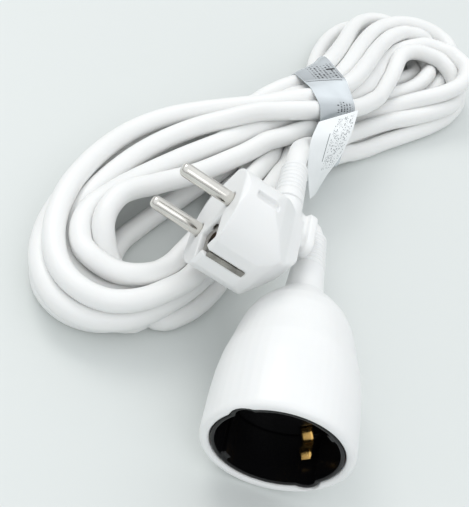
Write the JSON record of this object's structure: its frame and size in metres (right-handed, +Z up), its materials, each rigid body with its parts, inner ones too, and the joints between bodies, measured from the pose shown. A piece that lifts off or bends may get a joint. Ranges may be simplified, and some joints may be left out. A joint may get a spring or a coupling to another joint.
{
  "type": "mains extension lead",
  "caption": "White earthed extension lead folded into a tied hank, with a moulded side-entry plug and a bell-shaped socket.",
  "frame": {"origin": "on the table, under the middle of the box round the plug and the socket; the cord and its label are left out of that box", "axes": "+Z up; the socket's axis lies along Y with its mouth towards -Y"},
  "size_m": [0.1672, 0.3016, 0.0633],
  "materials": {
    "pvc": "smooth satin white PVC",
    "cord_sheath": "soft white PVC sheath",
    "core": "off-white glass-filled core",
    "insert": "glossy black",
    "nickel": "polished nickel plate",
    "brass": "rolled brass",
    "paper": "matt white printed film",
    "foil": "glossy metallised film",
    "brown": "brown core sheath",
    "blue": "blue core sheath",
    "green": "green and yellow core sheath"
  },
  "bodies": {
    "lead": {"plug_body": "pvc", "pin_bridge": "core", "earth_strap": "nickel", "earth_sleeve": "brass", "pin_live": "nickel", "pin_neutral": "nickel", "plug_crimp_live": "brass", "plug_crimp_neutral": "brass", "plug_crimp_earth": "brass", "plug_wire_live": "brown", "plug_wire_neutral": "blue", "plug_wire_earth": "green", "plug_boot": "pvc", "socket_shell": "pvc", "socket_insert": "insert", "insert_floor": "insert", "insert_cover": "insert", "live_contact": "brass", "socket_crimp_live": "brass", "socket_wire_live": "brown", "neutral_contact": "brass", "socket_crimp_neutral": "brass", "socket_wire_neutral": "blue", "earth_bridge": "brass", "socket_crimp_earth": "brass", "socket_wire_earth": "green", "socket_boot": "pvc", "label_band": "foil", "cord_hank": "cord_sheath", "cord_plug_tail": "cord_sheath", "cord_socket_tail": "cord_sheath"},
    "earth_clip_upper": {"earth_clip_upper": "brass"},
    "earth_clip_lower": {"earth_clip_lower": "brass"},
    "live_leaf_a": {"live_leaf_a": "brass"},
    "live_leaf_b": {"live_leaf_b": "brass"},
    "neutral_leaf_a": {"neutral_leaf_a": "brass"},
    "neutral_leaf_b": {"neutral_leaf_b": "brass"},
    "label_flag": {"label_flag": "paper"}
  },
  "joints": [
    {"name": "earth_clip_upper_flex", "type": "hinge", "parent": "lead", "child": "earth_clip_upper", "pos_m": [0.00738, -0.03435, 0.03423], "axis": [-0.682, 0, -0.7314], "range_deg": [0, 7], "stiffness_Nm_per_rad": 0.002},
    {"name": "earth_clip_lower_flex", "type": "hinge", "parent": "lead", "child": "earth_clip_lower", "pos_m": [0.02932, -0.03435, 0.01377], "axis": [0.682, 0, 0.7314], "range_deg": [0, 7], "stiffness_Nm_per_rad": 0.002},
    {"name": "live_leaf_a_flex", "type": "hinge", "parent": "lead", "child": "live_leaf_a", "pos_m": [0.02304, -0.02175, 0.03262], "axis": [-0.682, 0, -0.7314], "range_deg": [0, 2.5], "stiffness_Nm_per_rad": 0.0005},
    {"name": "live_leaf_b_flex", "type": "hinge", "parent": "lead", "child": "live_leaf_b", "pos_m": [0.02662, -0.02175, 0.02928], "axis": [0.682, 0, 0.7314], "range_deg": [0, 2.5], "stiffness_Nm_per_rad": 0.0005},
    {"name": "neutral_leaf_a_flex", "type": "hinge", "parent": "lead", "child": "neutral_leaf_a", "pos_m": [0.01008, -0.02175, 0.01872], "axis": [-0.682, 0, -0.7314], "range_deg": [0, 2.5], "stiffness_Nm_per_rad": 0.0005},
    {"name": "neutral_leaf_b_flex", "type": "hinge", "parent": "lead", "child": "neutral_leaf_b", "pos_m": [0.01366, -0.02175, 0.01538], "axis": [0.682, 0, 0.7314], "range_deg": [0, 2.5], "stiffness_Nm_per_rad": 0.0005},
    {"name": "label_flag_swing", "type": "hinge", "parent": "lead", "child": "label_flag", "pos_m": [0.02275, 0.09955, 0.024], "axis": [-0.9703, -0.2419, 0], "range_deg": [0, 50]}
  ],
  "couplings": [
    {"joint": "live_leaf_b_flex", "follows": "live_leaf_a_flex", "ratio": 1},
    {"joint": "neutral_leaf_b_flex", "follows": "neutral_leaf_a_flex", "ratio": 1}
  ]
}
